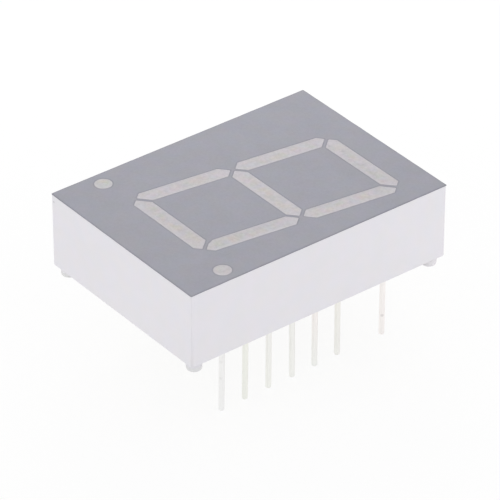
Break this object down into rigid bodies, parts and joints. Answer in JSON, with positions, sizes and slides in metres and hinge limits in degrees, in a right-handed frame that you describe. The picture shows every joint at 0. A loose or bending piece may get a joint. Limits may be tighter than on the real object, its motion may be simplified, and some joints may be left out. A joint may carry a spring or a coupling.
{
  "type": "seven segment display",
  "caption": "Through-hole seven segment display: a pale moulded block with a grey face, a leaning digit of flush segments, decimal points, corner feet and two rows of round leads.",
  "frame": {"origin": "middle of the lead field, on the plane that the ends of the four feet lie in, where the top of the circuit board goes", "axes": "+X to the right of the digit, +Y to its top, +Z out of the face, away from the leads"},
  "size_m": [0.02, 0.0278, 0.0152],
  "materials": {
    "housing": "fine satin moulding, very pale lavender grey",
    "face_coat": "even matt grey ink",
    "diffuser": "cast epoxy with diffusing filler, unlit",
    "board": "glass-epoxy laminate",
    "copper": "etched copper",
    "solder": "bright tin solder",
    "chip": "bare semiconductor",
    "wire": "bright gold",
    "lead": "dull tin plate",
    "seal": "cast milky epoxy"
  },
  "bodies": {
    "root": {"housing": "housing", "face_coat": "face_coat", "circuit_board": "board", "front_copper": "copper", "back_copper": "copper", "solder_joints": "solder", "seal": "seal", "segment_a": "diffuser", "segment_b": "diffuser", "segment_c": "diffuser", "segment_d": "diffuser", "segment_e": "diffuser", "segment_f": "diffuser", "segment_g": "diffuser", "decimal_point_left": "diffuser", "decimal_point_right": "diffuser", "led_chip_a": "chip", "led_chip_b": "chip", "led_chip_c": "chip", "led_chip_d": "chip", "led_chip_e": "chip", "led_chip_f": "chip", "led_chip_g": "chip", "led_chip_left": "chip", "led_chip_right": "chip", "bond_wire_a": "wire", "bond_wire_b": "wire", "bond_wire_c": "wire", "bond_wire_d": "wire", "bond_wire_e": "wire", "bond_wire_f": "wire", "bond_wire_g": "wire", "bond_wire_left": "wire", "bond_wire_right": "wire", "lead_02": "lead", "lead_03": "lead", "lead_04": "lead", "lead_05": "lead", "lead_06": "lead", "lead_07": "lead", "lead_10": "lead", "lead_11": "lead", "lead_12": "lead", "lead_13": "lead", "lead_14": "lead", "lead_15": "lead", "lead_17": "lead"}
  },
  "joints": []
}
